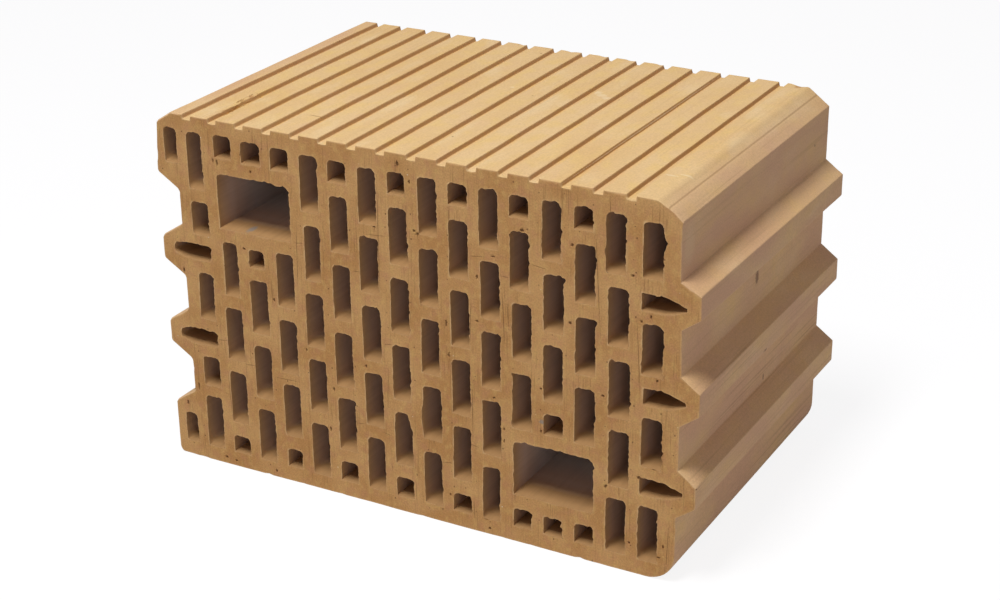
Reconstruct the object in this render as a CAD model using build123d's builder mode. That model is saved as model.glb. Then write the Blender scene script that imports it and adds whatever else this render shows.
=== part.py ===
"""Hollow clay wall block with tongues and grooves on its ends, fired as one piece.

The block lies on one of its two long wall faces. X runs along the wall, from the grooved end to
the end with the tongues. Y runs along the chambers, from bed face to bed face. Z runs across the
thickness of the wall. The origin is under the middle of the block. Sizes are in millimetres.
"""
import os

from build123d import *

# The block in the wall
BODY_LENGTH = 375.0  # from the outer face of the grooved end to the flat between the tongues
WALL_THICKNESS = 250.0  # from the lower wall face to the upper one
COURSE_HEIGHT = 238.0  # length of the extruded section

# Head joint: grooves in one end, tongues on the other, with play between them
JOINT_COUNT = 3
GROOVE_DEPTH = 16.5
GROOVE_FLANK_RUN = 10.5  # how far each sloping side of a groove comes in
GROOVE_TIP = 16.0  # width of the tips left standing between two grooves
UPPER_LAP_HEIGHT = 8.0  # how far the upper groove climbs past the foot of the top chamber behind it
LOWER_LAP_HEIGHT = 9.0  # how far the lower groove drops past the head of the bottom chamber behind it
JOINT_SIDE_PLAY = 6.0
JOINT_DEPTH_PLAY = 4.2
TONGUE_FLANK_RUN = 9.0
GROOVE_TIP_RADIUS = 3.0  # on the outer corners of the tips between the grooves
GROOVE_ROOT_RADIUS = 4.0  # in the inner corners of the grooves
TONGUE_TIP_RADIUS = 1.2  # on the outer corners of the tongues, which are crisper
TONGUE_ROOT_RADIUS = 1.0  # in the inner corners beside the tongues

# Long edges of the block
GROOVED_BEVEL_RUN = 11.5
GROOVED_BEVEL_DROP = 7.5
GROOVED_BEVEL_RADIUS = 2.0
TONGUED_BEVEL_RUN = 15.5
TONGUED_BEVEL_DROP = 11.5
TONGUED_BEVEL_HEAD_RADIUS = 6.0  # where the bevel leaves the upper wall face
TONGUED_BEVEL_FOOT_RADIUS = 1.0  # where the bevel meets the tongued end
GROOVED_FOOT_RADIUS = 5.0
TONGUED_FOOT_RADIUS = 19.0

# Plaster keys: shallow grooves along the upper wall face
KEY_COUNT = 16
KEY_MOUTH = 6.4
KEY_FLOOR = 5.0
KEY_DEPTH = 2.8
KEY_MARGIN_GROOVED = 26.4  # middle of the first key from the grooved end
KEY_MARGIN_TONGUED = 32.6  # middle of the last key from the flat of the tongued end

# Chambers: columns along the block and rows over its thickness, every second column half a row off
COLUMN_COUNT = 16
ROW_COUNT = 5
GROOVED_END_SHELL = 9.2  # wall between the root of a groove and the first column
TONGUED_END_SHELL = 11.5  # wall between the last column and the flat between the tongues
LOWER_SHELL = 11.5
UPPER_SHELL = 13.0
COLUMN_WEB = 8.5
ROW_WEB = 9.5
CHAMBER_CORNER_RADIUS = 3.0  # on the two upper corners; the lower ones are square

# Grip holes: three columns wide and one row high, near opposite corners of the block
GRIP_COLUMNS = 3
UPPER_GRIP_SKIP_COUNT = 1  # columns left between the upper grip hole and the grooved end
LOWER_GRIP_SKIP_COUNT = 2  # columns left between the lower grip hole and the tongued end
GRIP_CORNER_RADIUS = 4.0

# Chambers at the two ends, which follow the tongues and grooves
END_WEB = 8.6  # between the chambers of an end column
EAR_SHELL = 7.4  # around the small chambers in the two ears
TIP_SHELL = 8.5  # in front of the chambers that reach into tips and tongues
TIP_CHAMBER_HEIGHT = 11.0
TIP_SHOULDER_RADIUS = 20.0
TIP_SHOULDER_SHARE = 0.70  # straight part of a chamber that reaches into a tip
TIP_NOSE_SHARE = 0.55  # height left at its nose
TONGUE_SHOULDER_SHARE = 0.55  # the same two for a chamber that reaches into a tongue
TONGUE_NOSE_SHARE = 0.20

# Places along Z, worked out: a step is half a row, with its web
chamber_top = WALL_THICKNESS - UPPER_SHELL
step_height = (chamber_top - LOWER_SHELL + ROW_WEB) / ROW_COUNT / 2
chamber_height = 2 * step_height - ROW_WEB
half_height = step_height - ROW_WEB

# Tongues and grooves, worked out: the ears are the grooved end's faces above and below its grooves
upper_ear = UPPER_SHELL + chamber_height - UPPER_LAP_HEIGHT
lower_ear = LOWER_SHELL + chamber_height - LOWER_LAP_HEIGHT
tongue_reach = GROOVE_DEPTH - JOINT_DEPTH_PLAY
groove_mouth = (WALL_THICKNESS - upper_ear - lower_ear - (JOINT_COUNT - 1) * GROOVE_TIP) / JOINT_COUNT
groove_root = groove_mouth - 2 * GROOVE_FLANK_RUN
tongue_root = groove_mouth - 2 * JOINT_SIDE_PLAY
tongue_tip = tongue_root - 2 * TONGUE_FLANK_RUN
joint_pitch = groove_mouth + GROOVE_TIP
joint_heights = [lower_ear + groove_mouth / 2 + joint_pitch * i for i in range(JOINT_COUNT)]
tip_heights = [height + joint_pitch / 2 for height in joint_heights[:-1]]

# Places along X, worked out
grooved_x = -(BODY_LENGTH + tongue_reach) / 2
flat_x = grooved_x + BODY_LENGTH
tongue_x = flat_x + tongue_reach
first_column_x = grooved_x + GROOVE_DEPTH + GROOVED_END_SHELL
last_column_x = flat_x - TONGUED_END_SHELL
column_pitch = (last_column_x - first_column_x + COLUMN_WEB) / COLUMN_COUNT
chamber_width = column_pitch - COLUMN_WEB
grip_width = GRIP_COLUMNS * column_pitch - COLUMN_WEB
lower_grip_column = COLUMN_COUNT - LOWER_GRIP_SKIP_COUNT - GRIP_COLUMNS
grips = {UPPER_GRIP_SKIP_COUNT: 2 * ROW_COUNT - 3, lower_grip_column: 1}  # first column to first step


def section_corners():
    """Corners of the section with their radii, around from the lower corner of the grooved end."""
    corners = [(grooved_x, 0, GROOVED_FOOT_RADIUS), (flat_x, 0, TONGUED_FOOT_RADIUS)]
    for height in joint_heights:
        corners += [
            (flat_x, height - tongue_root / 2, TONGUE_ROOT_RADIUS),
            (tongue_x, height - tongue_tip / 2, TONGUE_TIP_RADIUS),
            (tongue_x, height + tongue_tip / 2, TONGUE_TIP_RADIUS),
            (flat_x, height + tongue_root / 2, TONGUE_ROOT_RADIUS),
        ]
    corners += [
        (flat_x, WALL_THICKNESS - TONGUED_BEVEL_DROP, TONGUED_BEVEL_FOOT_RADIUS),
        (flat_x - TONGUED_BEVEL_RUN, WALL_THICKNESS, TONGUED_BEVEL_HEAD_RADIUS),
        (grooved_x + GROOVED_BEVEL_RUN, WALL_THICKNESS, GROOVED_BEVEL_RADIUS),
        (grooved_x, WALL_THICKNESS - GROOVED_BEVEL_DROP, GROOVED_BEVEL_RADIUS),
    ]
    for height in reversed(joint_heights):
        corners += [
            (grooved_x, height + groove_mouth / 2, GROOVE_TIP_RADIUS),
            (grooved_x + GROOVE_DEPTH, height + groove_root / 2, GROOVE_ROOT_RADIUS),
            (grooved_x + GROOVE_DEPTH, height - groove_root / 2, GROOVE_ROOT_RADIUS),
            (grooved_x, height - groove_mouth / 2, GROOVE_TIP_RADIUS),
        ]
    return corners


def key_middles():
    """Middles of the plaster keys on the upper wall face."""
    first = grooved_x + KEY_MARGIN_GROOVED
    pitch = (flat_x - KEY_MARGIN_TONGUED - first) / (KEY_COUNT - 1)
    return [(first + pitch * i, WALL_THICKNESS) for i in range(KEY_COUNT)]


def chamber_middle(column, step, width, height):
    """Middle of a chamber of a given size that starts at a column and a step."""
    x = first_column_x + column_pitch * column + width / 2
    z = LOWER_SHELL + step_height * step + height / 2
    return (x, z)


def column_steps(column):
    """Steps at which the whole chambers and the half chambers of a column start."""
    free = list(range(2 * ROW_COUNT))
    for first, step in grips.items():
        if first <= column < first + GRIP_COLUMNS:
            free.remove(step)
            free.remove(step + 1)
    whole = [step for step in free if step % 2 == column % 2 and step + 1 in free]
    filled = whole + [step + 1 for step in whole]
    return whole, [step for step in free if step not in filled]


def spans_between(low, high, heights):
    """Spans of an end column that lie below, between and above the chambers at these heights."""
    spans = []
    for height in heights:
        spans.append((low, height - TIP_CHAMBER_HEIGHT / 2 - END_WEB))
        low = height + TIP_CHAMBER_HEIGHT / 2 + END_WEB
    return spans + [(low, high)]


def rounded_loop(corners):
    """Edges of a closed line through these corners, each given with its radius."""
    with BuildLine() as loop:
        points = [corner[:2] for corner in corners]
        FilletPolyline(points, radius=[corner[2] for corner in corners], close=True)
    return loop.edges()


def cut_chambers(middles, width, height, corner_radius):
    """Cuts plain chambers of one size out of the section, with their upper corners rounded."""
    with BuildSketch(mode=Mode.PRIVATE) as chamber:
        Rectangle(width, height)
        fillet(chamber.vertices().group_by(Axis.Y)[-1], radius=corner_radius)
    with Locations(*middles):
        add(chamber.sketch, mode=Mode.SUBTRACT)


def cut_end_chamber(x_low, x_high, z_low, z_high):
    """Cuts one plain chamber of an end column out of the section."""
    middle = ((x_low + x_high) / 2, (z_low + z_high) / 2)
    cut_chambers([middle], x_high - x_low, z_high - z_low, CHAMBER_CORNER_RADIUS)


def cut_tip_chamber(blunt_x, nose_x, height, shoulder_share, nose_share):
    """Cuts one chamber with a nose, which reaches into a tip or a tongue, out of the section."""
    half = TIP_CHAMBER_HEIGHT / 2
    nose = nose_share * half
    shoulder_x = blunt_x + shoulder_share * (nose_x - blunt_x)
    corners = [
        (blunt_x, height - half, nose),
        (shoulder_x, height - half, TIP_SHOULDER_RADIUS),
        (nose_x, height - nose, nose),
        (nose_x, height + nose, nose),
        (shoulder_x, height + half, TIP_SHOULDER_RADIUS),
        (blunt_x, height + half, nose),
    ]
    make_face(rounded_loop(corners), mode=Mode.SUBTRACT)


with BuildPart() as clay_block:
    with BuildSketch(Plane.XZ.offset(-COURSE_HEIGHT / 2)):
        make_face(rounded_loop(section_corners()))

        # Plaster keys, each a shallow trapezium that opens upwards
        with BuildSketch(mode=Mode.PRIVATE) as key:
            with BuildLine():
                Polyline(
                    (-KEY_MOUTH / 2, 0),
                    (-KEY_FLOOR / 2, -KEY_DEPTH),
                    (KEY_FLOOR / 2, -KEY_DEPTH),
                    (KEY_MOUTH / 2, 0),
                    close=True,
                )
            make_face()
        with Locations(*key_middles()):
            add(key.sketch, mode=Mode.SUBTRACT)

        # Whole and half chambers of the columns between the two ends
        whole_middles = []
        half_middles = []
        for column in range(1, COLUMN_COUNT - 1):
            whole_steps, half_steps = column_steps(column)
            for step in whole_steps:
                whole_middles.append(chamber_middle(column, step, chamber_width, chamber_height))
            for step in half_steps:
                half_middles.append(chamber_middle(column, step, chamber_width, half_height))
        cut_chambers(whole_middles, chamber_width, chamber_height, CHAMBER_CORNER_RADIUS)
        cut_chambers(half_middles, chamber_width, half_height, CHAMBER_CORNER_RADIUS)

        # Grip holes
        grip_middles = [chamber_middle(*grip, grip_width, chamber_height) for grip in grips.items()]
        cut_chambers(grip_middles, grip_width, chamber_height, GRIP_CORNER_RADIUS)

        # Grooved end: whole chambers top and bottom, short ones between the tips, one in each ear and tip
        column_right = first_column_x + chamber_width
        lower_span = (LOWER_SHELL, LOWER_SHELL + chamber_height)
        upper_span = (chamber_top - chamber_height, chamber_top)
        short_spans = spans_between(lower_span[1] + END_WEB, upper_span[0] - END_WEB, tip_heights)
        for span in [lower_span, *short_spans, upper_span]:
            cut_end_chamber(first_column_x, column_right, *span)
        ear_left = grooved_x + EAR_SHELL
        ear_right = first_column_x - COLUMN_WEB
        cut_end_chamber(ear_left, ear_right, LOWER_SHELL, lower_ear - EAR_SHELL)
        cut_end_chamber(ear_left, ear_right, WALL_THICKNESS - upper_ear + EAR_SHELL, chamber_top)
        for height in tip_heights:
            nose_x = grooved_x + TIP_SHELL
            cut_tip_chamber(column_right, nose_x, height, TIP_SHOULDER_SHARE, TIP_NOSE_SHARE)

        # Tongued end: chambers between the tongues, and one that reaches into each tongue
        column_left = last_column_x - chamber_width
        for span in spans_between(LOWER_SHELL, chamber_top, joint_heights):
            cut_end_chamber(column_left, last_column_x, *span)
        for height in joint_heights:
            nose_x = tongue_x - TIP_SHELL
            cut_tip_chamber(column_left, nose_x, height, TONGUE_SHOULDER_SHARE, TONGUE_NOSE_SHARE)
    extrude(amount=COURSE_HEIGHT)

clay_block.part.label = "clay_block"
os.makedirs("parts", exist_ok=True)
export_step(clay_block.part, "parts/clay_block.step")
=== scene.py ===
import math
import random

import bpy
import numpy as np
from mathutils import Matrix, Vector, kdtree, noise


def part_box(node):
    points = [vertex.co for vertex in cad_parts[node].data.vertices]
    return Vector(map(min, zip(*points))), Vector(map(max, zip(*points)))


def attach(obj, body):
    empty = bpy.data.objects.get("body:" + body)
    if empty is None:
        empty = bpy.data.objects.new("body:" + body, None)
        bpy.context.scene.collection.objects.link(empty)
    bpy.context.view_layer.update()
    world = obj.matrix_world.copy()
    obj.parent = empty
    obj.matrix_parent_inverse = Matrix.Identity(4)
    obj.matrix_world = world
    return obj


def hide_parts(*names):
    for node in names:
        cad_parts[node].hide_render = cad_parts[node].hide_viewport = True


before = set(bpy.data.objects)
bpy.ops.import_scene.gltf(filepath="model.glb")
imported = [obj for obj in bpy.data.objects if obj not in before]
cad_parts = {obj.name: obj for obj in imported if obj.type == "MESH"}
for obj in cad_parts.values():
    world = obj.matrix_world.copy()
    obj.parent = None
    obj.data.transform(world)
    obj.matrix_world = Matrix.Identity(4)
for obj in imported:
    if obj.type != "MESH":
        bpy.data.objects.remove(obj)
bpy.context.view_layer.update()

# The block lies on a wall face: X along the wall, Y along the chambers, Z up. All lengths are in metres.
MM = 0.001
SEED = 11
noise.seed_set(SEED)  # without a seed, noise_vector starts from the clock
(_, FRONT_Y, FLOOR_Z), (_, BACK_Y, TOP_Z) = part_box("clay_block")

CHAMBER_STEP = 1.8 * MM  # spacing of points around the chambers
SKIN_STEP = 2.4 * MM  # spacing of points around the outside
SKIN_LENGTH_STEP = 13.0 * MM  # spacing of the rings along the outside
CHAMBER_RINGS = [0.8 * MM, 4.0 * MM]  # edge rings of the chambers behind each cut face
SKIN_RINGS = [0.5 * MM, 1.2 * MM, 3.0 * MM, 12.0 * MM]  # the same around the outside
RIM_WIDTH = 1.1 * MM  # ring of narrow faces along every edge of the cut faces
WEB_REACH = 4.5 * MM  # how far into the webs a moved edge draws the cut face with it
LONGEST_EDGES = (7.0 * MM, 4.5 * MM)  # longer edges of the cut faces are halved, in two rounds
PIT_PATCHES = ((1.6 * MM, 2), (0.5 * MM, 1))  # how far around the pits faces are cut, and how often
MERGED_WITHIN = 0.005 * MM  # points of the CAD mesh that are one
TINY = 0.01 * MM
CUT_FACE, SKIN, CHAMBER = 0, 1, 2  # material slots of the block
KEY_FLOOR_Z = TOP_Z - 4 * MM  # lower than all plaster keys
# Where the second plaster key crumbled as it left the die
CRUMBLED_KEY_X, CRUMBLED_FROM_Y, CRUMBLED_TO_Y = -147.3 * MM, -106 * MM, -58 * MM
CRUMBLED_HALF_WIDTH = 5.5 * MM

# Pits in the front cut face: x, z and half sizes in millimetres
PITS = [
    (-148, 221.7, 0.6, 0.8), (-145, 220.5, 0.6, 1.2), (-119, 219, 0.6, 0.8), (-8.6, 242.7, 0.8, 1.5),
    (-0.4, 232.4, 0.4, 1.2), (-128, 164.7, 0.8, 0.7), (-106.5, 132.4, 0.6, 0.9), (2, 200.8, 0.8, 0.7),
    (4, 199, 0.7, 0.8), (-27, 198.8, 0.8, 0.7), (-178.5, 139.7, 0.6, 1.4), (17, 202.2, 1.0, 0.7),
    (78, 214.7, 1.2, 0.9), (57.5, 194.3, 1.2, 0.4), (46, 178.7, 0.6, 1.3), (111, 211.8, 0.8, 0.9),
    (23.5, 143.2, 0.4, 2.2), (25, 121.5, 0.6, 1.4), (45.6, 149, 0.8, 0.6), (109.7, 161.2, 0.9, 0.9),
    (90, 112.7, 0.6, 0.8), (132, 117.6, 0.6, 0.8), (57, 98.9, 0.9, 0.6), (151, 199.9, 0.6, 0.8),
    (162.6, 176, 0.5, 1.1), (156.3, 171.6, 0.6, 0.8), (167.4, 135.7, 0.6, 0.8), (90, 83.4, 0.6, 0.8),
    (50, 11.2, 1.2, 0.4), (24, 22, 0.6, 0.8), (52.8, 4.4, 0.8, 0.8), (63.8, 78.8, 0.6, 0.8),
    (63.7, 70.3, 0.4, 1.1), (134, 56.4, 0.6, 1.1), (156.4, 67.6, 1.0, 0.9), (165.5, 76.5, 1.2, 0.6),
    (151, 20.7, 0.6, 0.8), (174, 24, 0.5, 1.2), (171, 15.8, 1.2, 0.4), (-154, 5, 1.0, 0.8),
    (-146, 4, 0.8, 0.6), (-112.6, 4.6, 0.6, 0.9), (-62.7, 77.7, 0.6, 1.2), (-66.7, 47.4, 0.5, 1.5),
    (-83, 101.8, 0.6, 0.8), (-173.6, 54.7, 0.4, 2.6), (-184, 40, 0.6, 1.5), (-37, 100, 0.6, 0.8),
]


def edit(piece):
    """Goes into edit mode with this piece alone selected."""
    bpy.ops.object.select_all(action="DESELECT")
    bpy.context.view_layer.objects.active = piece
    piece.select_set(True)
    bpy.ops.object.mode_set(mode="EDIT")


def pick(piece, kind, test):
    """Selects the faces or edges of a piece in edit mode that pass a test."""
    bpy.ops.mesh.select_mode(type=kind)
    bpy.ops.mesh.select_all(action="DESELECT")
    bpy.ops.object.mode_set(mode="OBJECT")
    for item in piece.data.polygons if kind == "FACE" else piece.data.edges:
        item.select = bool(test(item))
    bpy.ops.object.mode_set(mode="EDIT")


def ends(edge):
    """The two end points of an edge of the block."""
    return [mesh.vertices[i].co for i in edge.vertices]


def along_section(edge):
    """Whether an edge runs along the outline of the section, and not along the chambers."""
    a, b = ends(edge)
    return abs(a.y - b.y) < TINY


def outside(edge):
    """Whether an edge lies on the outer wall."""
    return mesh.attributes["outside"].data[edge.vertices[0]].value > 0.5


def edge_length(edge):
    """The length of an edge of the block."""
    a, b = ends(edge)
    return (a - b).length


def faces_cut(face):
    """Whether a face looks along the chambers, as the two cut faces do."""
    return abs(face.normal.y) > 0.9


def cut_depth(point):
    """How far a point lies behind the nearer cut face."""
    return min(point.y - FRONT_Y, BACK_Y - point.y)


def near_pit(point, reach):
    """Whether a point of the front cut face lies close to one of its pits."""
    return point.y < 0 and any(
        abs(point.x - x * MM) < wide * MM + reach and abs(point.z - z * MM) < tall * MM + reach
        for x, z, wide, tall in PITS)


# The block starts as a copy of the CAD solid, merged, without its two cut faces
block = bpy.data.objects.new("fired_clay_block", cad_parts["clay_block"].data.copy())
bpy.context.scene.collection.objects.link(block)
mesh = block.data
mesh.materials.clear()
edit(block)
bpy.ops.mesh.select_all(action="SELECT")
bpy.ops.mesh.customdata_custom_splitnormals_clear()
bpy.ops.mesh.remove_doubles(threshold=MERGED_WITHIN)
pick(block, "FACE", faces_cut)
bpy.ops.mesh.delete(type="FACE")
bpy.ops.mesh.select_all(action="SELECT")
bpy.ops.mesh.tris_convert_to_quads(face_threshold=math.radians(2), shape_threshold=math.radians(180))
bpy.ops.object.mode_set(mode="OBJECT")


def separate_walls():
    """Boxes across the walls that are left, the outer wall first, and the wall of each point."""
    leader = list(range(len(mesh.vertices)))

    def lead(i):
        while leader[i] != i:
            leader[i] = leader[leader[i]]
            i = leader[i]
        return i

    for edge in mesh.edges:
        leader[lead(edge.vertices[0])] = lead(edge.vertices[1])
    walls = {}
    for vertex in mesh.vertices:
        walls.setdefault(lead(vertex.index), []).append((vertex.co.x, vertex.co.z))
    boxes = {key: (*np.min(places, 0), *np.max(places, 0)) for key, places in walls.items()}
    order = sorted(boxes, key=lambda key: boxes[key])
    return [boxes[key] for key in order], [order.index(lead(vertex.index)) for vertex in mesh.vertices]


wall_boxes, point_walls = separate_walls()
marks = mesh.attributes.new("outside", "FLOAT", "POINT")
marks.data.foreach_set("value", [0.0 if wall else 1.0 for wall in point_walls])
for face in mesh.polygons:
    face.material_index = CHAMBER if point_walls[face.vertices[0]] else SKIN

# Points along the outlines, the longest edges first, so that each edge is cut once
for on_outside, step in ((True, SKIN_STEP), (False, CHAMBER_STEP)):
    wanted = {round(edge_length(edge) / step) - 1 for edge in mesh.edges
              if along_section(edge) and outside(edge) == on_outside}
    edit(block)
    for cuts in sorted((c for c in wanted if c > 0), reverse=True):
        shortest = (cuts + 0.5) * step
        pick(block, "EDGE", lambda edge: along_section(edge) and outside(edge) == on_outside
             and edge_length(edge) >= shortest)
        bpy.ops.mesh.subdivide(number_cuts=cuts, quadcorner="STRAIGHT_CUT")
    bpy.ops.object.mode_set(mode="OBJECT")

# Rings around all walls close behind the cut faces, and more of them along the outer wall
edit(block)
for kind, depths in ((SKIN, SKIN_RINGS), (CHAMBER, CHAMBER_RINGS)):
    for depth in depths:
        for y in (FRONT_Y + depth, BACK_Y - depth):
            pick(block, "FACE", lambda face: face.material_index == kind)
            bpy.ops.mesh.bisect(plane_co=(0, y, 0), plane_no=(0, 1, 0))
inner_length = BACK_Y - FRONT_Y - 2 * SKIN_RINGS[-1]
pick(block, "EDGE", lambda edge: outside(edge) and edge_length(edge) > 0.9 * inner_length
     and not along_section(edge))
bpy.ops.mesh.subdivide(number_cuts=round(inner_length / SKIN_LENGTH_STEP) - 1, quadcorner="STRAIGHT_CUT")

# Fresh cut faces, each with a narrow ring along its edges
for y in (FRONT_Y, BACK_Y):
    pick(block, "EDGE", lambda edge: all(abs(p.y - y) < TINY for p in ends(edge)))
    bpy.ops.mesh.fill(use_beauty=True)
bpy.ops.object.mode_set(mode="OBJECT")
for face in mesh.polygons:
    if faces_cut(face):
        face.material_index = CUT_FACE
edit(block)
pick(block, "FACE", lambda face: face.material_index == CUT_FACE)
bpy.ops.mesh.inset(thickness=RIM_WIDTH, use_boundary=True, use_even_offset=True)
for longest in LONGEST_EDGES:
    pick(block, "EDGE", lambda edge: edge_length(edge) > longest
         and all(cut_depth(p) < TINY for p in ends(edge)))
    bpy.ops.mesh.subdivide(number_cuts=1)
    pick(block, "FACE", lambda face: face.material_index == CUT_FACE)
    bpy.ops.mesh.quads_convert_to_tris()
    bpy.ops.mesh.beautify_fill(angle_limit=math.radians(5))
bpy.ops.object.mode_set(mode="OBJECT")

# Twice the points along the front edges of the chambers, and fine patches at the crumbled plaster key
# and at the pits
wall_points = {i for face in mesh.polygons if face.material_index == CHAMBER for i in face.vertices}
edit(block)
pick(block, "EDGE", lambda edge: all(i in wall_points for i in edge.vertices)
     and all(p.y - FRONT_Y < TINY for p in ends(edge)))
bpy.ops.mesh.subdivide(number_cuts=1)
pick(block, "FACE", lambda face: face.material_index == SKIN and face.center.z > KEY_FLOOR_Z
     and abs(face.center.x - CRUMBLED_KEY_X) < CRUMBLED_HALF_WIDTH + 0.5 * MM
     and CRUMBLED_FROM_Y - 2 * MM < face.center.y < CRUMBLED_TO_Y + 2 * MM)
bpy.ops.mesh.subdivide(number_cuts=3)
for reach, cuts in PIT_PATCHES:
    pick(block, "FACE", lambda face: face.material_index == CUT_FACE and near_pit(face.center, reach))
    bpy.ops.mesh.subdivide(number_cuts=cuts)
    bpy.ops.mesh.quads_convert_to_tris()
bpy.ops.mesh.select_all(action="SELECT")
bpy.ops.mesh.normals_make_consistent(inside=False)
bpy.ops.object.mode_set(mode="OBJECT")
mesh.attributes.remove(mesh.attributes["outside"])

# Chambers that dried off their place. Each row is a point inside the chamber, x and z in
# millimetres, and how far its left, right, lower and upper sides moved.
DRIFTS = [
    (-181.0, 227.0, 0.0, 0.0, 1.5, 2.7),
    (-161.4, 218.0, -1.0, -2.5, 0.8, 1.6),
    (-161.4, 124.0, 1.6, 0.0, 0.0, 0.0),
    (-139.7, 230.0, -0.6, -0.4, 1.5, 2.7),
    (-118.1, 230.0, -0.9, -0.1, 1.3, 1.9),
    (-96.4, 230.0, 0.0, 0.6, 0.8, 1.2),
    (-118.0, 195.0, 0.0, -0.7, 0.0, 0.0),
    (-74.8, 171.0, 1.3, -0.2, 0.0, 0.0),
    (-31.5, 218.0, 0.0, -0.2, 0.0, -1.1),
    (-9.9, 230.0, 0.0, -0.8, 0.0, 0.0),
    (-170.0, 154.3, 0.0, -0.6, 1.2, 0.8),
    (-139.7, 148.0, 1.4, -0.4, 0.0, 0.0),
    (-118.1, 159.5, 0.7, -1.0, 0.0, -1.8),
    (55.1, 218.0, -0.6, -0.8, 0.0, 0.0),
    (76.7, 230.0, -1.0, -1.7, 0.0, -0.5),
    (98.4, 218.0, -0.8, -1.4, 0.0, 0.0),
    (120.0, 230.0, -1.4, -2.1, 0.0, 0.0),
    (141.7, 218.0, -2.0, -2.3, 0.0, 0.0),
    (163.3, 218.0, 0.0, -0.4, 1.5, -1.8),
    (76.7, 195.0, -1.0, -1.4, 0.0, 0.0),
    (98.4, 171.0, 0.0, 0.5, 0.0, 0.0),
    (141.7, 124.0, 0.8, 1.5, 0.0, 0.0),
    (141.7, 77.0, 1.3, 1.9, 0.0, 0.0),
    (163.3, 154.0, 0.7, 1.3, 0.0, 0.0),
    (163.3, 93.0, 1.3, 1.9, 0.0, 0.0),
    (170.0, 123.75, 2.0, 1.3, 0.0, 0.0),
    (170.0, 62.6, 0.7, 0.7, 0.0, 0.0),
    (-139.7, 18.5, 0.0, 0.0, 0.0, -1.7),
    (-96.4, 18.5, 1.0, -0.7, 0.0, -0.7),
    (33.4, 18.5, 0.0, -0.2, 0.0, -1.6),
    (55.1, 30.0, 0.0, -1.0, 0.0, 0.0),
    (76.7, 18.5, 0.0, -0.8, 0.0, -1.0),
    (98.4, 18.5, 0.0, -0.2, 0.0, -1.6),
    (120.0, 18.5, 0.0, -0.4, 0.0, -1.2),
]
# Marks of the cutting wire and of handling. A nick is a place on the front cut face in
# millimetres, its radius, and how far it draws the edge of the chamber along X and Z.
NICKS = [
    (-67.4, 231.5, 3.2, 0.9, 0.0),  # bite with a nub under it, beside the upper grip hole
    (-67.6, 228.4, 1.4, -1.2, 0.0),
    (-107.0, 213.5, 3.0, 0.0, 0.9),
    (-97.0, 213.5, 6.0, 0.0, -0.9),
    (-89.5, 212.0, 4.0, 0.6, -1.2),
    (129.1, 102.6, 2.6, 1.9, 0.0),  # bite above the lower grip hole
    (128.4, 108.1, 2.0, -1.0, 0.0),
    (104.2, 21.5, 2.4, -2.4, -1.4),  # crumb in a small chamber under the grip hole
    (104.9, 187.7, 2.8, 1.2, 1.0),
    (19.4, 183.1, 1.8, 0.9, 0.0),
    (41.2, 231.5, 2.4, 1.1, 0.3),
    (69.4, 210.1, 1.8, -1.0, 0.5),
    (70.2, 118.5, 2.2, -1.5, 1.0),
    (-34.3, 189.6, 2.0, 0.0, 1.0),
    (-155.4, 176.5, 1.8, -1.0, 0.6),
    (-175.2, 230.0, 1.6, 0.9, 0.0),
    (-58.9, 206.4, 1.6, -0.8, 0.0),
    (-52.7, 213.4, 2.2, 0.0, -0.9),
    (-3.3, 73.0, 17.0, -2.6, 0.0),  # a chamber that leans at its top
    (-16.5, 73.0, 15.0, 1.2, 0.0),
    (186.5, 128.6, 1.6, 0.0, 1.5),  # spur in the chamber of the middle tongue
    (164.5, 69.2, 2.6, 0.0, 0.9),
    (170.0, 224.0, 8.0, 1.9, 0.0),
    (-154.8, 158.1, 2.4, 0.9, 0.0),
    (-124.7, 155.4, 2.0, -0.9, 0.0),
    (98.6, 97.4, 2.0, 0.0, 0.8),
    (107.3, 118.8, 1.8, 1.1, 0.0),
]
# Chips out of the outer edges: a place in millimetres, its radius and how deep the edge is broken
CHIPS = [
    (-47.0, 119.0, 250.0, 4.0, 1.1),
    (-9.0, 119.0, 250.0, 4.5, 1.0),
    (16.0, 119.0, 250.0, 4.0, 1.2),
    (37.0, 119.0, 250.0, 5.0, 1.1),
    (59.0, 119.0, 250.0, 4.0, 1.0),
    (161.0, 118.0, 250.0, 7.0, 2.0),
    (181.0, -119.0, 42.0, 3.5, 1.2),
    (-120.0, -119.0, 0.0, 3.0, 0.8),
    (60.0, -119.0, 0.0, 2.6, 0.8),
    (118.0, -119.0, 0.0, 3.2, 1.0),
]
PIT_DEPTH = 0.7 * MM
UPRIGHT = 20 * MM  # chambers narrower and taller than this stand upright
CORNER_FILL = 3.8 * MM  # radius of the clay in the lower left corner of an upright chamber
WAVER, WAVER_SIZE = 0.40 * MM, 17 * MM  # how the outlines of the chambers waver
TEAR_SIZE, FINE_TEAR_SIZE, BITE_SIZE, FLAKE_SIZE = 2.1 * MM, 1.1 * MM, 4.0 * MM, 3.2 * MM
TORN_FROM_X, TORN_TO_X = -50 * MM, 150 * MM  # the wire tore more and more from one to the other
FLOOR_ROUNDING = 0.5 * MM  # how far the wire rounded off the front of each chamber's floor
NICK_FADES = 5 * MM  # how far into a chamber a nick fades
LIP, LIP_SIZE = 0.42 * MM, 6.0 * MM  # burr that the wire left around the chambers
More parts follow.
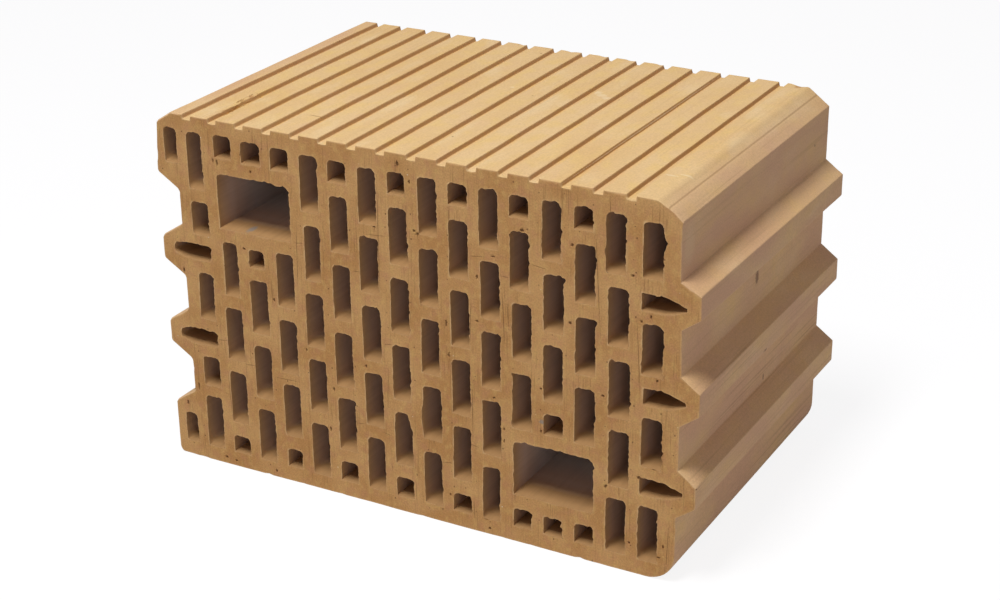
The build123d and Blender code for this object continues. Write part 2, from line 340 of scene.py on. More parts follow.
# Spread of the chambers' shifts in millimetres, of their turns in radians and of their swelling
SHIFT_X, SHIFT_Z, TURN, SWELL = 0.12, 0.15, 0.006, 0.008
SAG, SAG_SIZE = 0.15 * MM, 70 * MM  # of the skin, between the places where it was held
BUMP, BUMP_SIZE = 0.06 * MM, 4 * MM  # fine unevenness of the skin
CRUMB, CRUMB_SIZE = 1.7 * MM, 2.4 * MM  # of the crumbled plaster key
EDGE_WEAR = 0.8 * MM  # how far the upper edges of the cut faces are rounded off
EDGE_WEAR_DEPTH = 1.4 * MM
CHIP, CHIP_SIZE, CHIP_FADES = 1.6 * MM, 8 * MM, 0.8 * MM  # small chips along the edges of the cut faces
WANDER, WANDER_SIZE = 0.25 * MM, 24 * MM  # how far the wire wandered
SMOOTH_ANGLE = math.radians(38)
EAR_LEAN = 2.4 * MM  # how far the top of the upper ear on the grooved end leans in
EAR_FOOT_Z, EAR_RIGHT_X = 207 * MM, -178 * MM
# How far the wire drew the front of the tongued end outwards and upwards, in millimetres at these
# heights
PULL_HEIGHTS = (0, 45, 85, 110, 140, 168, 193, 204, 235, 243, 250)
PULLED_OUT = (0.4, 0.7, 1.2, 1.5, 1.9, 1.2, 0.6, -0.3, -0.3, 0.9, 0.0)
PULLED_UP = (0.0, 0.3, 0.2, 1.4, 1.6, 2.9, 2.6, -0.4, 0.0, 0.9, 0.0)
PULLED_FROM_X, PULLED_TO_X = 164 * MM, 174 * MM
# The chambers of the upper two tongues were cut cleanly
CALM_FROM_X, CALM_FROM_Z = 170 * MM, 100 * MM
# How the plaster keys waver along the block: how far, stretch across them, size and seed
KEY_WAVERS = ((0.30 * MM, 0.6, 55 * MM, 19), (0.25 * MM, 1.4, 26 * MM, 23))
KEY_SHIFT = -1.1 * MM  # how far the second to eighth plaster keys lie off their place
SHIFTED_KEYS_FROM_X, SHIFTED_KEYS_TO_X = -153 * MM, -10 * MM


def bump_noise(place, size, seed):
    """Smooth noise from -1 to 1 at a place, with features of a given size."""
    return noise.noise(Vector(place) / size + Vector((seed, 3.7 * seed, 1.3)))


def smooth(share):
    """An even run from 0 to 1 with soft ends."""
    share = min(1.0, max(0.0, share))
    return share * share * (3 - 2 * share)


def chamber_move(p, out, depth, box, habit, drift):
    """How a point of a chamber wall moved from the die's true section."""
    x0, z0, x1, z1 = box
    shift_x, shift_z, turn, swell = habit
    left, right, lower, upper = drift
    arm_x, arm_z = p.x - (x0 + x1) / 2, p.z - (z0 + z1) / 2
    across, up = arm_x / (x1 - x0) + 0.5, arm_z / (z1 - z0) + 0.5
    move = Vector((shift_x - turn * arm_z + swell * arm_x, 0, shift_z + turn * arm_x))
    move += Vector((left + (right - left) * across, 0, lower + (upper - lower) * up)) * MM

    # Clay rounds out the lower left corner of each upright chamber, less so where the wire cut it
    fill = CORNER_FILL * (0.3 + 0.7 * smooth(depth / CHAMBER_RINGS[-1]))
    from_x, from_z = x0 + fill - p.x, z0 + fill - p.z
    arm = math.hypot(from_x, from_z)
    if from_x > 0 and from_z > 0 and arm > fill and x1 - x0 < UPRIGHT < z1 - z0:
        move += Vector((from_x, 0, from_z)) * (1 - fill / arm)

    # The outline wavers slowly all along the chamber, and is ragged where the wire went through
    slow = noise.noise_vector(Vector((p.x, 0.15 * p.y, p.z)) / WAVER_SIZE + Vector((x0, 0, z0)) / MM)
    move += Vector((slow.x, 0, slow.z)) * WAVER
    near_cut = max(0.0, 1 - depth / CHAMBER_RINGS[-1]) ** 2
    torn_side = 0.5 + 0.6 * max(0.0, -out.x, -out.z)
    fine = bump_noise(p, TEAR_SIZE, 5) + 0.7 * bump_noise(p, FINE_TEAR_SIZE, 9)
    bite = max(0.0, bump_noise(p, BITE_SIZE, 2) - 0.18) * 2.2
    flake = max(0.0, bump_noise(p, FLAKE_SIZE, 14) - 0.28) * 1.6
    rough = 0.5 + 0.5 * smooth((p.x - TORN_FROM_X) / (TORN_TO_X - TORN_FROM_X))
    if p.x > CALM_FROM_X and p.z > CALM_FROM_Z:
        torn_side *= 0.4
    ragged = (0.34 * fine + rough * (1.25 * bite - 0.9 * flake)) * torn_side + 0.05
    move -= out * (ragged * near_cut * MM)
    move.z -= FLOOR_ROUNDING * near_cut * max(0.0, out.z)
    if p.y < 0:
        for x, z, radius, push_x, push_z in NICKS:
            share = smooth(1 - math.hypot(p.x - x * MM, p.z - z * MM) / (radius * MM))
            if share > 0:
                move += Vector((push_x, 0, push_z)) * (share * math.exp(-depth / NICK_FADES) * MM)
    if depth < TINY:
        lip = max(0.0, 0.12 + bump_noise(p, LIP_SIZE, 21)) * LIP * torn_side
        move.y += math.copysign(lip, p.y)
    return move


def skin_move(p, out, depth):
    """How a point of the outer wall moved from the die's true section."""
    face_way = Vector((0, math.copysign(1, p.y), 0))
    move = out * (SAG * bump_noise(Vector((p.x, 0.5 * p.y, p.z)), SAG_SIZE, 3))
    move += out * (BUMP * bump_noise(Vector((p.x, 0.3 * p.y, p.z)), BUMP_SIZE, 8))
    if p.x < EAR_RIGHT_X:
        move.x += EAR_LEAN * smooth((p.z - EAR_FOOT_Z) / (TOP_Z - EAR_FOOT_Z))
    if p.x > PULLED_FROM_X:
        pulled = smooth((p.x - PULLED_FROM_X) / (PULLED_TO_X - PULLED_FROM_X))
        pulled = pulled * (BACK_Y - p.y) / (BACK_Y - FRONT_Y)
        move.x += pulled * MM * np.interp(p.z / MM, PULL_HEIGHTS, PULLED_OUT)
        move.z += pulled * MM * np.interp(p.z / MM, PULL_HEIGHTS, PULLED_UP)
    if p.z > KEY_FLOOR_Z:
        into = min(p.x - SHIFTED_KEYS_FROM_X, SHIFTED_KEYS_TO_X - p.x) / (10 * MM)
        move.x += KEY_SHIFT * smooth(into + 0.5)
        for waver, stretch, size, seed in KEY_WAVERS:
            move.x += waver * bump_noise(Vector((stretch * p.x, p.y, 0)), size, seed)
        along = (p.y - CRUMBLED_FROM_Y) / (CRUMBLED_TO_Y - CRUMBLED_FROM_Y)
        if abs(p.x - CRUMBLED_KEY_X) < CRUMBLED_HALF_WIDTH and 0 < along < 1:
            crumb = noise.noise_vector(p / CRUMB_SIZE) * (CRUMB * math.sin(math.pi * along) ** 0.5)
            move += Vector((crumb.x, 0.5 * crumb.y, min(0.0, crumb.z - 0.3 * MM)))

    # The edges of the cut faces are worn round, with a chip here and there
    worn = EDGE_WEAR * (0.3 + 0.7 * smooth(2 * out.z)) * (1 + 0.35 * bump_noise(p, 9 * MM, 17))
    worn *= max(0.0, 1 - depth / EDGE_WEAR_DEPTH) ** 2
    chip = max(0.0, bump_noise(p, CHIP_SIZE, 12) - 0.42) * CHIP * math.exp(-depth / CHIP_FADES)
    move -= out * (worn + chip) + face_way * (0.5 * chip)
    for x, y, z, radius, deep in CHIPS:
        share = smooth(1 - (p - Vector((x, y, z)) * MM).length / (radius * MM))
        if share > 0:
            rough = 0.75 + 0.5 * bump_noise(p, 2.0 * MM, 6)
            move -= (0.8 * out + 0.6 * face_way) * (share * deep * rough * MM)
    return move


def weather():
    """Moves the points of the block from the die's true section to the wire-cut and fired one."""
    count = len(mesh.vertices)
    kinds = [CUT_FACE] * count
    for face in mesh.polygons:
        if face.material_index != CUT_FACE:
            for i in face.vertices:
                kinds[i] = face.material_index
    dice = random.Random(SEED)
    habits = [(dice.gauss(0, SHIFT_X) * MM, dice.gauss(0, SHIFT_Z) * MM,
               dice.gauss(0, TURN), dice.gauss(0, SWELL)) for box in wall_boxes]
    lows = np.array([box[:2] for box in wall_boxes[1:]]) - 0.05 * MM
    highs = np.array([box[2:] for box in wall_boxes[1:]]) + 0.05 * MM

    def chamber_at(x, z):
        return 1 + int(np.argmax(np.all((lows <= (x, z)) & (highs >= (x, z)), axis=1)))

    drifts = {chamber_at(x * MM, z * MM): sides for x, z, *sides in DRIFTS}
    moves = [Vector((0, 0, 0)) for i in range(count)]
    dry_rims_and_highlights = [0.0] * count
    sunk = [0.0] * count
    rim_tree = kdtree.KDTree(count)
    for i, vertex in enumerate(mesh.vertices):
        p = vertex.co
        depth = cut_depth(p)
        out = Vector((vertex.normal.x, 0, vertex.normal.z)).normalized()
        if kinds[i] == CHAMBER:
            wall = chamber_at(p.x, p.z)
            drift = drifts.get(wall, (0, 0, 0, 0))
            moves[i] = chamber_move(p, out, depth, wall_boxes[wall], habits[wall], drift)
        elif kinds[i] == SKIN:
            moves[i] = skin_move(p, out, depth)
        if kinds[i] != CUT_FACE and depth < TINY:
            rim_tree.insert(p, i)
            # Pale rim paint, partly a dry wire edge and partly a painted highlight: full along the chambers'
            # left edges, half along every other edge
            dry_rims_and_highlights[i] = 1.0 if out.x > 0.5 and kinds[i] == CHAMBER else 0.5
    rim_tree.balance()
    for i, vertex in enumerate(mesh.vertices):
        p = vertex.co
        if kinds[i] == CUT_FACE:
            _, rim, distance = rim_tree.find(p)
            share = max(0.0, 1 - distance / WEB_REACH) ** 1.5
            moves[i] = Vector((moves[rim].x, 0.2 * moves[rim].y * share, moves[rim].z)) * share
            if near_pit(p, 1.5 * MM):
                far = min(math.hypot((p.x / MM - x) / wide, (p.z / MM - z) / tall)
                          for x, z, wide, tall in PITS)
                sunk[i] = smooth((1.5 - far - 0.5 * bump_noise(p, 0.7 * MM, 31)) / 0.8)
                moves[i].y += PIT_DEPTH * sunk[i]
        if cut_depth(p) < TINY:
            moves[i].y += WANDER * bump_noise(Vector((p.x, p.y, 0.4 * p.z)), WANDER_SIZE, 27)
    for name, values in (("rim", dry_rims_and_highlights), ("pit", sunk)):
        mesh.attributes.new(name, "FLOAT", "POINT").data.foreach_set("value", values)
    for vertex, move in zip(mesh.vertices, moves):
        vertex.co += move
        vertex.co.z = max(vertex.co.z, FLOOR_Z)


weather()
bpy.ops.object.select_all(action="DESELECT")
bpy.context.view_layer.objects.active = block
block.select_set(True)
bpy.ops.object.shade_smooth_by_angle(angle=SMOOTH_ANGLE)
# Flat faces stay flat beside their rounded edges
even = block.modifiers.new("even_faces", "WEIGHTED_NORMAL")
even.keep_sharp = True
bpy.ops.object.modifier_apply(modifier=even.name)
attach(block, "root")
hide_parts("clay_block")


def colour(code):
    """Linear colour of an sRGB hex code."""
    parts = [int(code[i:i + 2], 16) / 255 for i in (1, 3, 5)]
    return [c / 12.92 if c <= 0.04045 else ((c + 0.055) / 1.055) ** 2.4 for c in parts] + [1.0]


def add(tree, kind, inputs=None, output=0, **settings):
    """Adds a node with its settings, sets or links its inputs, and gives one of its outputs."""
    made = tree.nodes.new(kind)
    for name, value in settings.items():
        setattr(made, name, value)
    for name, value in (inputs or {}).items():
        if isinstance(value, bpy.types.NodeSocket):
            tree.links.new(value, made.inputs[name])
        else:
            made.inputs[name].default_value = value
    return made.outputs[output] if made.outputs else None


def new_material(name):
    """An empty material with its shader, the tree to build in and the place on the block in metres."""
    material = bpy.data.materials.new(name)
    material.use_nodes = True
    tree = material.node_tree
    tree.nodes.clear()
    surface = add(tree, "ShaderNodeBsdfPrincipled",
                  {"Roughness": 0.9, "IOR": 1.5, "Specular IOR Level": 0.25})
    add(tree, "ShaderNodeOutputMaterial", {"Surface": surface})
    place = add(tree, "ShaderNodeTexCoord", output="Object")
    return material, tree, surface.node, place


FRAY = MM / 0.9  # size of the fraying along the edges of single marks


def in_marks(tree, place, marks):
    """1 inside any of these marks and 0 outside.

    A mark is a middle and half sizes in millimetres, and a turn about Y.
    """
    nearest = None
    for middle, sizes, turn in marks:
        inputs = {"Vector": place, "Location": [m * MM for m in middle], "Rotation": (0, turn, 0),
                  "Scale": [s * MM for s in sizes]}
        local = add(tree, "ShaderNodeMapping", inputs, vector_type="TEXTURE")
        far = add(tree, "ShaderNodeVectorMath", {0: local}, "Value", operation="LENGTH")
        if nearest:
            far = add(tree, "ShaderNodeMath", {0: nearest, 1: far}, operation="MINIMUM")
        nearest = far
    frayed = add(tree, "ShaderNodeTexNoise", {"Vector": place, "Scale": 1 / FRAY, "Detail": 3.0})
    nearest = add(tree, "ShaderNodeMath", {0: frayed, 1: 1.3, 2: nearest}, operation="MULTIPLY_ADD")
    return add(tree, "ShaderNodeMapRange", {"Value": nearest, 1: 1.25, 2: 1.75, 3: 1.0, 4: 0.0})


FACE_TURN = (math.radians(-90), 0, 0)  # lays the cut face's X and Z on a flat pattern's two axes
# Scratches that the wire drew up the front cut face, and hairline cracks across its webs: x and z of
# both ends in millimetres
SCRATCHES = [
    (-85.6, 190.8, -87, 143.4), (-23.7, 231, -24.5, 149), (-148, 71, -146.7, 35),
    (126.4, 222.9, 129.7, 160.8), (135, 247.5, 136, 233.4), (63.4, 173.5, 65, 137),
    (66.8, 167.6, 68, 147.8), (41.6, 162.5, 40.4, 131.7), (153.7, 172.4, 156.5, 127),
    (177.4, 41.4, 176.3, 5.7), (41.3, 22.2, 41.8, 7.6), (41.4, 107.8, 41.3, 65.6),
    (26.8, 222, 27.2, 209), (143, 69.7, 144, 49), (187, 101, 186.4, 60.3),
]
CRACKS = [
    (40, 191.4, 52, 193), (62, 182.5, 69, 182.5), (82.8, 194.3, 95, 192.8),
    (-44.7, 165, -38, 165.6), (-88, 176, -81, 177), (-154.5, 93.4, -146, 94.8),
    (-133, 80.2, -123.6, 80.9), (-110, 75.8, -89.5, 76.8), (-23.5, 118.6, -16.8, 119.4),
    (-46, 56.8, -39.7, 57.6), (-26, 55, -19, 53.7), (18, 44, 26.3, 45.3),
    (39, 62.2, 46.3, 61), (-33, 192.3, -17, 193.3),
]
SCRATCH_HALF_WIDTH, CRACK_HALF_WIDTH, LINE_HALF_DEPTH = 0.28, 0.24, 3


def lines(places, half_width):
    """Marks of a given half width in millimetres along lines on the front cut face."""
    marks = []
    for x0, z0, x1, z1 in places:
        half_length = math.hypot(x1 - x0, z1 - z0) / 2
        middle = ((x0 + x1) / 2, FRONT_Y / MM, (z0 + z1) / 2)
        sizes = (half_length, LINE_HALF_DEPTH, half_width)
        marks.append((middle, sizes, -math.atan2(z1 - z0, x1 - x0)))
    return marks


def cut_face_clay():
    """Wire-cut fired clay: matt ochre, mottled, with fine scratches, pits, cracks and pale rims that are
    partly a painted highlight.
    """
    material, tree, shader, place = new_material("wire-cut fired clay")

    def on_face(wide, tall):
        """Flat coordinates in which a pattern's unit is so many millimetres wide and tall."""
        scale = (1000 / wide, 1000, 1000 / tall)
        return add(tree, "ShaderNodeMapping", {"Vector": place, "Scale": scale, "Rotation": FACE_TURN})

    def face_noise(wide, tall, detail, low, high, at_low, at_high):
        """Flat noise with features of a given width and height in millimetres, between two values."""
        inputs = {"Vector": on_face(wide, tall), "Scale": 1.0, "Detail": detail}
        pattern = add(tree, "ShaderNodeTexNoise", inputs, noise_dimensions="2D")
        return add(tree, "ShaderNodeMapRange", {"Value": pattern, 1: low, 2: high, 3: at_low, 4: at_high})

    # Slow change of the firing colour over some 40 mm, with pinker and yellower blotches of 6 to 9 mm
    ground = colour("#BB8B53")
    for share, code in ((face_noise(40, 40, 5.0, 0.35, 0.65, 0.0, 1.0), "#CB9E65"),
                        (face_noise(9, 9, 3.0, 0.50, 0.72, 0.0, 0.45), "#BE8860"),
                        (face_noise(4, 6, 3.0, 0.50, 0.75, 0.0, 0.5), "#D2AB68")):
        ground = add(tree, "ShaderNodeMix", {0: share, 6: ground, 7: colour(code)}, 2, data_type="RGBA")

    # Clay grain of about 1 mm, and fine scratches 0.8 mm wide and 25 mm long in bands
    grain = face_noise(1.0, 1.1, 3.0, 0.25, 0.75, 0.0, 1.0)
    scratched = face_noise(0.8, 25, 2.0, 0.30, 0.40, 0.5, 0.0)
    banded = face_noise(14, 70, 2.0, 0.40, 0.65, 0.2, 1.0)
    drawn = add(tree, "ShaderNodeMath", {0: scratched, 1: banded}, operation="MULTIPLY")
    light = add(tree, "ShaderNodeMapRange", {"Value": grain, 1: 0.0, 2: 1.0, 3: 0.88, 4: 1.12})
    ground = add(tree, "ShaderNodeVectorMath", {0: ground, "Scale": light}, operation="SCALE")
    ground = add(tree, "ShaderNodeMix", {0: drawn, 6: ground, 7: colour("#8C643A")}, 2, data_type="RGBA")

    # Pale rims, broken every 6 mm or so, where the wire left a thin dry edge around the chambers; partly a
    # painted highlight, palest along the chambers' left edges
    rim = add(tree, "ShaderNodeAttribute", output="Fac", attribute_name="rim")
    broken = face_noise(6, 6, 2.0, 0.40, 0.60, 0.2, 0.7)
    rim = add(tree, "ShaderNodeMath", {0: rim, 1: broken}, operation="MULTIPLY")
    ground = add(tree, "ShaderNodeMix", {0: rim, 6: ground, 7: colour("#E0C08C")}, 2, data_type="RGBA")

    # Small pits some 10 mm apart, and a few white specks of lime 30 mm apart
    sunk = None
    for wide, tall, least, largest, code in ((9, 12, 0.45, 0.06, "#6A482C"),
                                             (31, 29, 0.55, 0.016, "#E9DBB9")):
        spots = add(tree, "ShaderNodeTexVoronoi", {"Vector": on_face(wide, tall), "Scale": 1.0},
                    voronoi_dimensions="2D")
        size = add(tree, "ShaderNodeSeparateColor", {"Color": spots.node.outputs["Color"]})
        size = add(tree, "ShaderNodeMapRange", {"Value": size, 1: least, 2: 1.0, 3: 0.0, 4: largest})
        inside = add(tree, "ShaderNodeMath", {0: size, 1: spots}, operation="SUBTRACT")
        inside = add(tree, "ShaderNodeMapRange", {"Value": inside, 1: 0.0, 2: 0.3 * largest, 3: 0.0, 4: 0.8})
        ground = add(tree, "ShaderNodeMix", {0: inside, 6: ground, 7: colour(code)}, 2, data_type="RGBA")
        sunk = sunk or inside

    # The single pits, scratches and cracks of this block, and a grey smear beside one chamber
    pits = add(tree, "ShaderNodeAttribute", output="Fac", attribute_name="pit")
    torn = in_marks(tree, place, lines(SCRATCHES, SCRATCH_HALF_WIDTH))
    cracked = in_marks(tree, place, lines(CRACKS, CRACK_HALF_WIDTH))
    smear = in_marks(tree, place, [((90.6, -119, 90.1), (2.2, 9, 1.6), 0.0)])
    for share, most, code in ((pits, 0.8, "#55371F"), (torn, 0.55, "#7A5430"),
                              (cracked, 0.6, "#6A4628"), (smear, 0.6, "#7E8688")):
        share = add(tree, "ShaderNodeMath", {0: share, 1: most}, operation="MULTIPLY")
        ground = add(tree, "ShaderNodeMix", {0: share, 6: ground, 7: colour(code)}, 2, data_type="RGBA")
    tree.links.new(ground, shader.inputs["Base Color"])

    # Relief of 0.15 mm: the grain stands out, pits, scratches and cracks go in
    height = grain
    for deep in (drawn, sunk, torn, cracked):
        height = add(tree, "ShaderNodeMath", {0: deep, 1: -1.6, 2: height}, operation="MULTIPLY_ADD")
    relief = add(tree, "ShaderNodeBump", {"Height": height, "Distance": 0.15 * MM, "Strength": 0.8})
    tree.links.new(relief, shader.inputs["Normal"])
    return material


# Single marks on the outside, by colour and strength: scuffs and specks on the upper wall face, a pale
# line along one plaster key, gouges and scars on the tongued end. Each is a middle, half sizes in
# millimetres and a turn.
SKIN_MARKS = [
    ("#F0DDB4", 0.4, [((48, 42, 250), (4, 3, 4), 0.0), ((53, 38, 250), (4, 3, 4), 0.0),
                      ((58, 34, 250), (3, 3, 4), 0.0), ((156, -79.5, 250), (5, 1.3, 4), 0.0),
                      ((164.5, -75.5, 250), (5, 1.3, 4), 0.0), ((-7.4, 26.7, 250), (1.4, 1.8, 2), 0.0)]),
    ("#F0DDB4", 0.7, [((103.75, 0, 248.6), (0.5, 130, 0.5), 0.0)]),
    ("#DCC193", 0.35, [((181.4, -108, 219), (4, 8, 11), 0.0)]),
    ("#8A6138", 0.7, [((-91, -83, 250), (6, 0.6, 2), 0.0), ((65.2, 42.5, 249), (2.6, 2.2, 3), 0.0)]),
    ("#6B4C38", 0.7, [((181.4, -1.4, 160.7), (3, 3.0, 5.5), 0.0), ((193, -13.8, 117.9), (3, 3.2, 1.1), 0.0),
                      ((181.4, 18, 82.6), (3, 1.1, 2.6), 0.0), ((181.4, 94.7, 218), (3, 1.0, 1.0), 0.0)]),
]
BEVEL_SCORE_X = 172.6 * MM  # a line that the die drew along the bevel
# Between these the walls of the plaster keys lie, painted with shade
KEY_WALL_SHADE_FROM_Z, KEY_WALL_SHADE_TO_Z = 247.45 * MM, 249.6 * MM
KEYS_FROM_X, KEYS_TO_X = -174 * MM, 162 * MM
END_SHADE_FROM_X, END_SHADE_TO_X = 166 * MM, 175 * MM  # painted shade: the skin is painted browner from one to the other, at both ends
SCORED_TO_Z, UNSCORED_FROM_Z = 240 * MM, 246 * MM  # the upper wall face has fainter die lines


def skin_clay():
    """Die-smoothed fired clay: a paler, closed skin with faint die lines along the block, and scuffs, with
    painted shade on the ends and on the walls of the plaster keys.
    """
    material, tree, shader, place = new_material("extruded clay skin")
    axes = add(tree, "ShaderNodeSeparateXYZ", {"Vector": place}).node.outputs
    to_end = add(tree, "ShaderNodeMath", {0: axes["X"]}, operation="ABSOLUTE")

    def drawn_noise(across, along, detail, low, high, at_low, at_high):
        """Noise with features of a given size in millimetres across and along the block."""
        scale = (1000 / across, 1000 / along, 1000 / across)
        drawn = add(tree, "ShaderNodeMapping", {"Vector": place, "Scale": scale})
        pattern = add(tree, "ShaderNodeTexNoise", {"Vector": drawn, "Scale": 1.0, "Detail": detail})
        return add(tree, "ShaderNodeMapRange", {"Value": pattern, 1: low, 2: high, 3: at_low, 4: at_high})

    # Clouds of firing colour, 45 mm across and drawn out along the block, with yellower, pinker and
    # paler blotches; the steep faces of the two ends get painted shade, browner, and less so where they face
    # up to the light
    painted_end_shade = add(tree, "ShaderNodeMapRange",
                  {"Value": to_end, 1: END_SHADE_FROM_X, 2: END_SHADE_TO_X, 3: 0.0, 4: 1.0})
    facing_up = add(tree, "ShaderNodeTexCoord", output="Normal")
    facing_up = add(tree, "ShaderNodeSeparateXYZ", {"Vector": facing_up}, "Z")
    steep_shade = add(tree, "ShaderNodeMapRange", {"Value": facing_up, 1: 0.1, 2: 0.6, 3: 1.0, 4: 0.75})
    for share in (steep_shade, drawn_noise(22, 60, 3.0, 0.35, 0.65, 0.3, 0.9)):
        painted_end_shade = add(tree, "ShaderNodeMath", {0: painted_end_shade, 1: share}, operation="MULTIPLY")
    ground = colour("#DAB57C")
    for share, code in ((drawn_noise(45, 80, 4.0, 0.35, 0.65, 0.0, 1.0), "#E0BF8A"),
                        (drawn_noise(11, 16, 3.0, 0.46, 0.70, 0.0, 0.6), "#E2BF79"),
                        (drawn_noise(13, 30, 3.0, 0.55, 0.75, 0.0, 0.4), "#DEB98E"),
                        (drawn_noise(20, 60, 3.0, 0.56, 0.74, 0.0, 0.5), "#E8CEA0"),
                        (painted_end_shade, "#D0A581")):
        ground = add(tree, "ShaderNodeMix", {0: share, 6: ground, 7: colour(code)}, 2, data_type="RGBA")

    # Grain of 1.2 mm, and die lines 1 to 2 mm wide in bands, which run far along the block
    grain = drawn_noise(1.2, 1.2, 3.0, 0.3, 0.7, 0.0, 1.0)
    light = add(tree, "ShaderNodeMapRange", {"Value": grain, 1: 0.0, 2: 1.0, 3: 0.91, 4: 1.07})
    ground = add(tree, "ShaderNodeVectorMath", {0: ground, "Scale": light}, operation="SCALE")
    score = drawn_noise(1.5, 140, 2.0, 0.30, 0.44, 0.36, 0.0)
    banded = drawn_noise(16, 300, 2.0, 0.45, 0.65, 0.15, 1.0)
    below_top = add(tree, "ShaderNodeMapRange",
                    {"Value": axes["Z"], 1: SCORED_TO_Z, 2: UNSCORED_FROM_Z, 3: 1.0, 4: 0.35})
    for share in (banded, below_top):
        score = add(tree, "ShaderNodeMath", {0: score, 1: share}, operation="MULTIPLY")
    from_line = add(tree, "ShaderNodeMath", {0: axes["X"], 1: BEVEL_SCORE_X}, operation="SUBTRACT")
    from_line = add(tree, "ShaderNodeMath", {0: from_line}, operation="ABSOLUTE")
    line = add(tree, "ShaderNodeMapRange", {"Value": from_line, 1: 0.2 * MM, 2: 0.7 * MM, 3: 0.45, 4: 0.0})
    score = add(tree, "ShaderNodeMath", {0: score, 1: line}, operation="MAXIMUM")
    ground = add(tree, "ShaderNodeMix", {0: score, 6: ground, 7: colour("#8E6840")}, 2, data_type="RGBA")

    # Painted shade: the walls of the plaster keys are torn, and painted browner than the closed skin where
    # shade falls in the grooves
    wall = 0.5
    for axis, low, high, at_low, at_high in (("Z", KEY_WALL_SHADE_TO_Z - 0.4 * MM, KEY_WALL_SHADE_TO_Z, 1.0, 0.0),
                                             ("Z", KEY_WALL_SHADE_FROM_Z, KEY_WALL_SHADE_FROM_Z + 0.25 * MM, 0.0, 1.0),
                                             ("X", KEYS_FROM_X, KEYS_FROM_X + 1 * MM, 0.0, 1.0),
                                             ("X", KEYS_TO_X, KEYS_TO_X + 1 * MM, 1.0, 0.0)):
        here = add(tree, "ShaderNodeMapRange", {"Value": axes[axis], 1: low, 2: high, 3: at_low, 4: at_high})
        wall = add(tree, "ShaderNodeMath", {0: wall, 1: here}, operation="MULTIPLY")
    ground = add(tree, "ShaderNodeMix", {0: wall, 6: ground, 7: colour("#A0693A")}, 2, data_type="RGBA")

    # A few pits, in cells of 26 mm, and the single marks of this block
    in_mm = add(tree, "ShaderNodeMapping", {"Vector": place, "Scale": (1000, 1000, 1000)})
    pit = add(tree, "ShaderNodeTexVoronoi", {"Vector": in_mm, "Scale": 1 / 26})
    pit = add(tree, "ShaderNodeMapRange", {"Value": pit, 1: 0.02, 2: 0.03, 3: 0.7, 4: 0.0})
    ground = add(tree, "ShaderNodeMix", {0: pit, 6: ground, 7: colour("#6E5033")}, 2, data_type="RGBA")
    for code, most, marks in SKIN_MARKS:
        inside = in_marks(tree, place, marks)
        share = add(tree, "ShaderNodeMath", {0: inside, 1: most}, operation="MULTIPLY")
        ground = add(tree, "ShaderNodeMix", {0: share, 6: ground, 7: colour(code)}, 2, data_type="RGBA")
    tree.links.new(ground, shader.inputs["Base Color"])
    shader.inputs["Roughness"].default_value = 0.8

    # Relief of 0.1 mm: the grain stands out, die lines and pits go in
    height = add(tree, "ShaderNodeMath", {0: score, 1: -2.0, 2: grain}, operation="MULTIPLY_ADD")
    height = add(tree, "ShaderNodeMath", {0: pit, 1: -2.5, 2: height}, operation="MULTIPLY_ADD")
    relief = add(tree, "ShaderNodeBump", {"Height": height, "Distance": 0.10 * MM, "Strength": 0.8})
    tree.links.new(relief, shader.inputs["Normal"])
    return material


STREAK_WIDTH, STREAK_LENGTH = MM / 0.42, MM / 0.014
LIT_FLOOR_PAINT = 13 * MM  # the upward floors of the chambers keep the ochre of the open ends so much further in, painted light where light falls on them


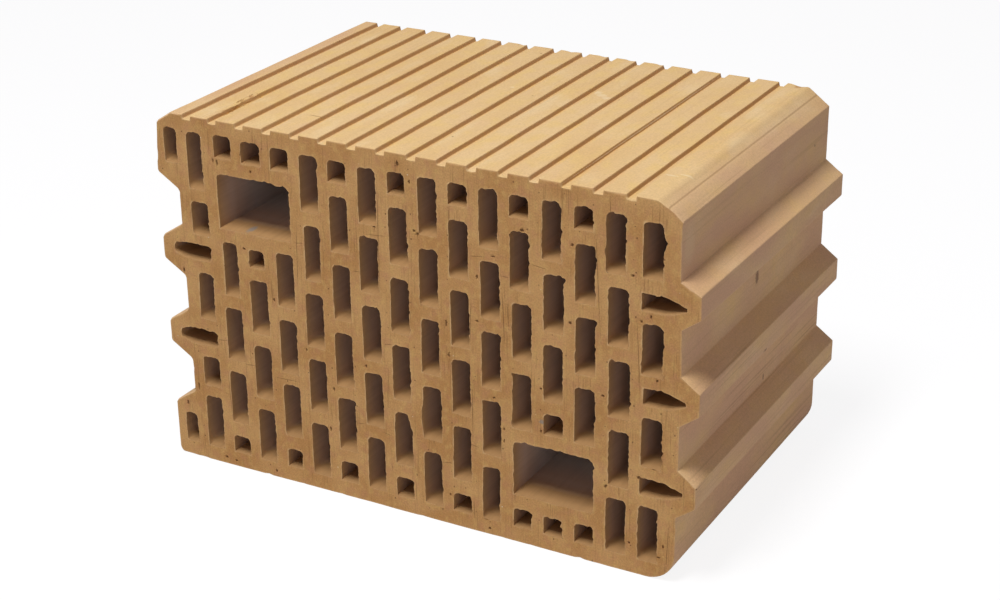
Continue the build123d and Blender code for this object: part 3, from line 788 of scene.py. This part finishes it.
def chamber_clay_with_painted_light():
    """Clay inside the chambers: faintly streaked by the die's cores, with painted light and shade: paler and
    greyer away from the open ends, and ochre further in on the floors.
    """
    material, tree, shader, place = new_material("chamber clay with painted light and shade")
    scale = (1 / STREAK_WIDTH, 1 / STREAK_LENGTH, 1 / STREAK_WIDTH)
    drawn = add(tree, "ShaderNodeMapping", {"Vector": place, "Scale": scale})
    streak = add(tree, "ShaderNodeTexNoise", {"Vector": drawn, "Scale": 1.0, "Detail": 3.0})

    # Ochre at the open ends and paler, greyer further in, colour painted to stand in for the grey shade deep
    # in the chambers; upward floors keep the ochre further in, painted light where light falls on them.
    # Each colour comes in between two distances from the block's middle
    along = add(tree, "ShaderNodeSeparateXYZ", {"Vector": place}, "Y")
    along = add(tree, "ShaderNodeMath", {0: along}, operation="ABSOLUTE")
    # Painted light: upward-facing floors count as nearer the open ends, so they stay ochre further in
    facing_up = add(tree, "ShaderNodeTexCoord", output="Normal")
    facing_up = add(tree, "ShaderNodeSeparateXYZ", {"Vector": facing_up}, "Z")
    facing_up = add(tree, "ShaderNodeMath", {0: facing_up, 1: 0.0}, operation="MAXIMUM")
    along = add(tree, "ShaderNodeMath", {0: facing_up, 1: LIT_FLOOR_PAINT, 2: along}, operation="MULTIPLY_ADD")
    ground = colour("#D0C6BE")
    for low, high, code in ((78, 98, "#C9AF9B"), (103, 118, "#B08859")):
        share = add(tree, "ShaderNodeMapRange", {"Value": along, 1: low * MM, 2: high * MM, 3: 0.0, 4: 1.0})
        ground = add(tree, "ShaderNodeMix", {0: share, 6: ground, 7: colour(code)}, 2, data_type="RGBA")
    light = add(tree, "ShaderNodeMapRange", {"Value": streak, 1: 0.3, 2: 0.7, 3: 0.93, 4: 1.05})
    ground = add(tree, "ShaderNodeVectorMath", {0: ground, "Scale": light}, operation="SCALE")
    smear = in_marks(tree, place, [((-125.3, -112, 176.0), (2.4, 6, 4), 0.0)])
    smear = add(tree, "ShaderNodeMath", {0: smear, 1: 0.6}, operation="MULTIPLY")
    ground = add(tree, "ShaderNodeMix", {0: smear, 6: ground, 7: colour("#7E8688")}, 2, data_type="RGBA")
    tree.links.new(ground, shader.inputs["Base Color"])
    relief = add(tree, "ShaderNodeBump", {"Height": streak, "Distance": 0.1 * MM, "Strength": 0.6})
    tree.links.new(relief, shader.inputs["Normal"])
    return material


for material in (cut_face_clay(), skin_clay(), chamber_clay_with_painted_light()):
    mesh.materials.append(material)

# Camera at the photo's angle
CAMERA_PLACE = (0.6037, -1.0970, 0.6589)
CAMERA_TURN = [math.radians(degrees) for degrees in (66.232, 0.582, 28.726)]
bpy.ops.object.camera_add(location=CAMERA_PLACE, rotation=CAMERA_TURN)
camera = bpy.context.object
camera.data.sensor_width = 36
camera.data.lens = 72.33
bpy.context.scene.camera = camera
bpy.context.scene.view_settings.view_transform = "Standard"


def seen_directly(tree):
    """1 where it is seen straight, reflected or through glass, and 0 where it only gives light."""
    path = add(tree, "ShaderNodeLightPath").node.outputs
    seen = path["Is Camera Ray"]
    for ray in ("Is Glossy Ray", "Is Transmission Ray"):
        seen = add(tree, "ShaderNodeMath", {0: seen, 1: path[ray]}, operation="MAXIMUM")
    return seen


# Floor and world: white to the camera, and the floor keeps a faint shadow of the block
WORLD_STRENGTH, WORLD_TINT = 0.27, (1.0, 0.93, 1.07, 1)
WHITE = colour("#FFFFFF")
bpy.ops.mesh.primitive_plane_add(size=8, location=(0, 0, FLOOR_Z))
floor = bpy.context.object
floor.name = "studio_floor"
paper = bpy.data.materials.new("white studio paper")
paper.use_nodes = True
tree = paper.node_tree
tree.nodes.clear()
plain = add(tree, "ShaderNodeBsdfDiffuse", {"Color": colour("#E6E6E6")})
faint = add(tree, "ShaderNodeBsdfDiffuse", {"Color": (0.17, 0.17, 0.17, 1)})
glow = add(tree, "ShaderNodeEmission", {"Color": WHITE, "Strength": 0.87})
bright = add(tree, "ShaderNodeAddShader", {0: faint, 1: glow})
both = add(tree, "ShaderNodeMixShader", {0: seen_directly(tree), 1: plain, 2: bright})
add(tree, "ShaderNodeOutputMaterial", {"Surface": both})
floor.data.materials.append(paper)

world = bpy.data.worlds.new("white studio")
bpy.context.scene.world = world
world.use_nodes = True
tree = world.node_tree
tree.nodes.clear()
seen = seen_directly(tree)
strength = add(tree, "ShaderNodeMapRange", {"Value": seen, 3: WORLD_STRENGTH, 4: 1.0})
tint = add(tree, "ShaderNodeMix", {0: seen, 6: WORLD_TINT, 7: WHITE}, 2, data_type="RGBA")
sky = add(tree, "ShaderNodeBackground", {"Color": tint, "Strength": strength})
add(tree, "ShaderNodeOutputWorld", {"Surface": sky})

# One soft lamp above the block, a little towards the front
LAMP_PLACE, LAMP_AIM = Vector((-0.06, -0.75, 2.15)), Vector((0, 0, 0.15))
lamp_turn = (LAMP_AIM - LAMP_PLACE).to_track_quat("-Z", "Y").to_euler()
bpy.ops.object.light_add(type="AREA", location=LAMP_PLACE, rotation=lamp_turn)
lamp = bpy.context.object
lamp.name = "soft_lamp"
lamp.data.shape = "RECTANGLE"
lamp.data.size, lamp.data.size_y = 0.45, 0.9
lamp.data.energy = 34.5
